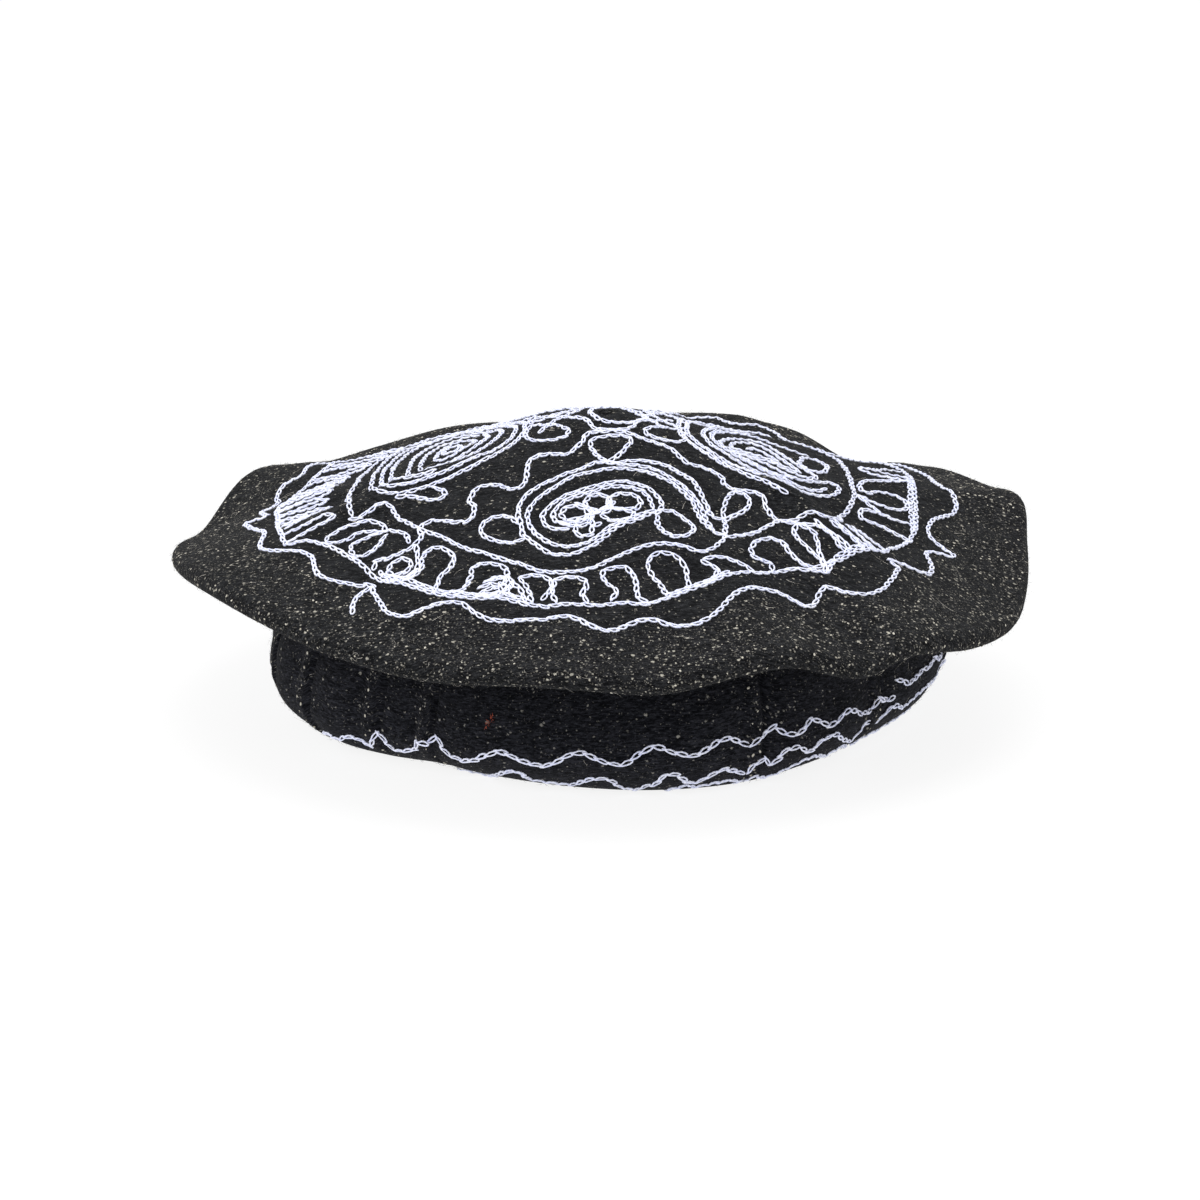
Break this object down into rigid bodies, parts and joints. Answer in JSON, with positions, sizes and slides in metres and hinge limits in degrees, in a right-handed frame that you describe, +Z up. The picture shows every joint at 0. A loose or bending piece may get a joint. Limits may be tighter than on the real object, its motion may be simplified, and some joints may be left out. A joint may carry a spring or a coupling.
{
  "type": "pakol",
  "caption": "Soft round wool cap: a wide floppy flat crown with a folded rim over a rolled, tucked band, open below for the head.",
  "frame": {"origin": "on the table, below the middle of the cap's outline seen from above", "axes": "+Z up from the foot of the band to the top of the crown, -Y towards the front of the cap, +X to the viewer's right"},
  "size_m": [0.287, 0.2894, 0.1025],
  "materials": {
    "crown_wool": "woven black wool with cream flecks and a soft nap",
    "band_wool": "woven black wool with sparse cream flecks and a soft nap",
    "white_thread": "white embroidery thread in chain stitch"
  },
  "bodies": {
    "root": {"crown": "crown_wool", "rolled_band": "band_wool"}
  },
  "joints": []
}
